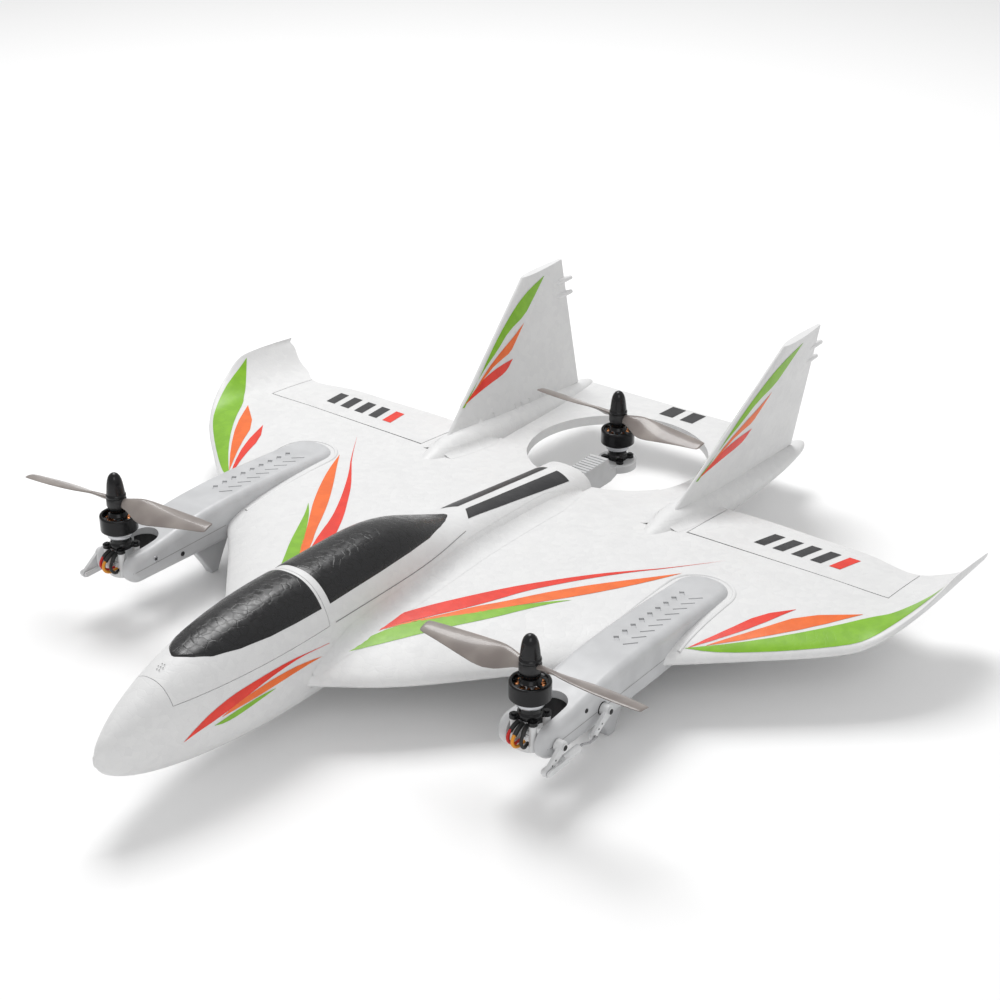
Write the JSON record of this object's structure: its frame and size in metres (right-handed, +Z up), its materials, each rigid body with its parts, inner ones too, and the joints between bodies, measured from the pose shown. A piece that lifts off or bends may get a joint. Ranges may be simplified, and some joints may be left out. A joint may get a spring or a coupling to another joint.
{
  "type": "tilt-rotor model aeroplane",
  "caption": "Small foam flying-wing style model aircraft with tilting front motors, a fixed tail lift motor, twin booms and fins.",
  "frame": {"origin": "on the ground plane, under the middle of the bounding box in plan", "axes": "+X towards the left wing tip, +Y aft, +Z up"},
  "size_m": [0.45, 0.459, 0.105],
  "materials": {
    "white_foam": "moulded white bead foam with a fine cell texture",
    "canopy_black": "gloss black printed canopy film on foam",
    "nacelle_grey": "satin moulded plastic",
    "white_plastic": "satin moulded nylon",
    "bracket_grey": "satin moulded plastic",
    "black_plastic": "matte moulded plastic",
    "motor_black": "gloss black anodised shell",
    "anodised_black": "black anodised",
    "windings": "enamelled copper",
    "steel_wire": "bright drawn wire",
    "carbon_tube": "satin carbon fibre",
    "propeller_smoke": "smoke-tinted translucent plastic",
    "lead_insulation": "silicone insulation",
    "battery_wrap": "shrink wrap",
    "circuit_board": "solder resist",
    "magnet_plate": "nickel plate"
  },
  "bodies": {
    "airframe": {"fuselage": "white_foam", "rear_canopy": "canopy_black", "battery": "battery_wrap", "flight_board": "circuit_board", "carbon_spar": "carbon_tube", "tail_motor_bracket": "bracket_grey", "rear_foot": "bracket_grey", "stabiliser": "white_foam", "aileron_servos": "black_plastic", "wing_left": "white_foam", "boom_left": "white_foam", "fin_left": "white_foam", "nacelle_upper_left": "nacelle_grey", "nacelle_lower_left": "nacelle_grey", "landing_leg_left": "nacelle_grey", "tilt_servo_left": "black_plastic", "wing_right": "white_foam", "boom_right": "white_foam", "fin_right": "white_foam", "nacelle_upper_right": "nacelle_grey", "nacelle_lower_right": "nacelle_grey", "landing_leg_right": "nacelle_grey", "tilt_servo_right": "black_plastic", "motor_cross_tail": "anodised_black", "motor_stator_tail": "windings"},
    "tilt_left": {"tilt_mount_left": "white_plastic", "tilt_horn_left": "white_plastic", "motor_cross_left": "anodised_black", "motor_stator_left": "windings", "motor_leads_left": "lead_insulation"},
    "tilt_arm_left": {"tilt_servo_arm_left": "white_plastic"},
    "tilt_link_left": {"tilt_pushrod_left": "steel_wire", "tilt_clevis_left": "white_plastic"},
    "aileron_flap_left": {"aileron_left": "white_foam", "aileron_horn_left": "white_plastic"},
    "aileron_arm_left": {"aileron_servo_arm_left": "white_plastic"},
    "aileron_link_left": {"aileron_pushrod_left": "steel_wire"},
    "tilt_right": {"tilt_mount_right": "white_plastic", "tilt_horn_right": "white_plastic", "motor_cross_right": "anodised_black", "motor_stator_right": "windings", "motor_leads_right": "lead_insulation"},
    "tilt_arm_right": {"tilt_servo_arm_right": "white_plastic"},
    "tilt_link_right": {"tilt_pushrod_right": "steel_wire", "tilt_clevis_right": "white_plastic"},
    "aileron_flap_right": {"aileron_right": "white_foam", "aileron_horn_right": "white_plastic"},
    "aileron_arm_right": {"aileron_servo_arm_right": "white_plastic"},
    "aileron_link_right": {"aileron_pushrod_right": "steel_wire"},
    "rotor_left": {"motor_bell_left": "motor_black", "propeller_left": "propeller_smoke", "spinner_left": "anodised_black"},
    "rotor_right": {"motor_bell_right": "motor_black", "propeller_right": "propeller_smoke", "spinner_right": "anodised_black"},
    "rotor_tail": {"motor_bell_tail": "motor_black", "propeller_tail": "propeller_smoke", "spinner_tail": "anodised_black"},
    "hatch": {"battery_hatch": "canopy_black", "hatch_magnets": "magnet_plate"}
  },
  "joints": [
    {"name": "tilt_left", "type": "hinge", "parent": "airframe", "child": "tilt_left", "pos_m": [0.125, -0.0985, 0.031], "axis": [1, 0, 0], "range_deg": [-8, 90]},
    {"name": "rotor_left_spin", "type": "hinge", "parent": "tilt_left", "child": "rotor_left", "pos_m": [0.125, -0.0985, 0.051], "axis": [0, 0, 1], "continuous": true},
    {"name": "tilt_arm_left", "type": "hinge", "parent": "airframe", "child": "tilt_arm_left", "pos_m": [0.1416, -0.0645, 0.031], "axis": [1, 0, 0], "range_deg": [-8, 90]},
    {"name": "tilt_link_left", "type": "hinge", "parent": "tilt_arm_left", "child": "tilt_link_left", "pos_m": [0.1416, -0.07569, 0.024], "axis": [1, 0, 0], "range_deg": [-90, 8]},
    {"name": "aileron_left", "type": "hinge", "parent": "airframe", "child": "aileron_flap_left", "pos_m": [0.142, 0.0855, 0.03637], "axis": [1, 0, 0], "range_deg": [-25, 25]},
    {"name": "aileron_arm_left", "type": "hinge", "parent": "airframe", "child": "aileron_arm_left", "pos_m": [0.10575, 0.0475, 0.0285], "axis": [1, 0, 0], "range_deg": [-25, 25]},
    {"name": "aileron_link_left", "type": "hinge", "parent": "aileron_arm_left", "child": "aileron_link_left", "pos_m": [0.10575, 0.0475, 0.0135], "axis": [1, 0, 0], "range_deg": [-25, 25]},
    {"name": "tilt_right", "type": "hinge", "parent": "airframe", "child": "tilt_right", "pos_m": [-0.125, -0.0985, 0.031], "axis": [1, 0, 0], "range_deg": [-8, 90]},
    {"name": "rotor_right_spin", "type": "hinge", "parent": "tilt_right", "child": "rotor_right", "pos_m": [-0.125, -0.0985, 0.051], "axis": [0, 0, 1], "continuous": true},
    {"name": "tilt_arm_right", "type": "hinge", "parent": "airframe", "child": "tilt_arm_right", "pos_m": [-0.1416, -0.0645, 0.031], "axis": [1, 0, 0], "range_deg": [-8, 90]},
    {"name": "tilt_link_right", "type": "hinge", "parent": "tilt_arm_right", "child": "tilt_link_right", "pos_m": [-0.1416, -0.07569, 0.024], "axis": [1, 0, 0], "range_deg": [-90, 8]},
    {"name": "aileron_right", "type": "hinge", "parent": "airframe", "child": "aileron_flap_right", "pos_m": [-0.142, 0.0855, 0.03637], "axis": [1, 0, 0], "range_deg": [-25, 25]},
    {"name": "aileron_arm_right", "type": "hinge", "parent": "airframe", "child": "aileron_arm_right", "pos_m": [-0.10575, 0.0475, 0.0285], "axis": [1, 0, 0], "range_deg": [-25, 25]},
    {"name": "aileron_link_right", "type": "hinge", "parent": "aileron_arm_right", "child": "aileron_link_right", "pos_m": [-0.10575, 0.0475, 0.0135], "axis": [1, 0, 0], "range_deg": [-25, 25]},
    {"name": "rotor_tail_spin", "type": "hinge", "parent": "airframe", "child": "rotor_tail", "pos_m": [0, 0.1512, 0.036], "axis": [0, 0, 1], "continuous": true},
    {"name": "hatch_lift", "type": "slide", "parent": "airframe", "child": "hatch", "axis": [0, 0, 1], "range_m": [0, 0.06]}
  ],
  "couplings": [
    {"joint": "tilt_arm_left", "follows": "tilt_left", "ratio": 1},
    {"joint": "tilt_link_left", "follows": "tilt_left", "ratio": -1},
    {"joint": "aileron_arm_left", "follows": "aileron_left", "ratio": 1},
    {"joint": "aileron_link_left", "follows": "aileron_left", "ratio": -1},
    {"joint": "tilt_arm_right", "follows": "tilt_right", "ratio": 1},
    {"joint": "tilt_link_right", "follows": "tilt_right", "ratio": -1},
    {"joint": "aileron_arm_right", "follows": "aileron_right", "ratio": 1},
    {"joint": "aileron_link_right", "follows": "aileron_right", "ratio": -1}
  ]
}
